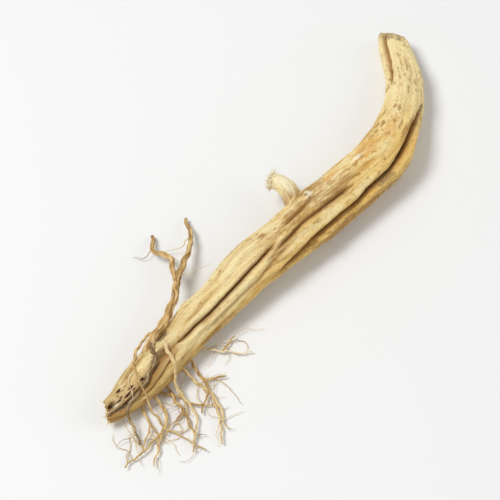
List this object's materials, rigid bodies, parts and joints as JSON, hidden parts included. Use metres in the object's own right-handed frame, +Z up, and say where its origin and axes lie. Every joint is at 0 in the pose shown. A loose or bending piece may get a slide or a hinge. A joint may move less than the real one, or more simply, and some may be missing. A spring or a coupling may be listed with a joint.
{
  "type": "white behen root",
  "caption": "Dried white behen root: a stout, furrowed tap root with a hooked crown end, a broken side root and fine rootlets at its torn tail.",
  "frame": {"origin": "on the surface that the root lies on, under the middle of the root's box", "axes": "+X along the long limb from the tail to the bend, +Y towards the inner side of the hook, +Z up"},
  "size_m": [0.1274, 0.0488, 0.0125],
  "materials": {
    "dried_root": "matt dried root bark, cream to ochre with brown furrows"
  },
  "bodies": {
    "root": {"behen_root": "dried_root"}
  },
  "joints": []
}
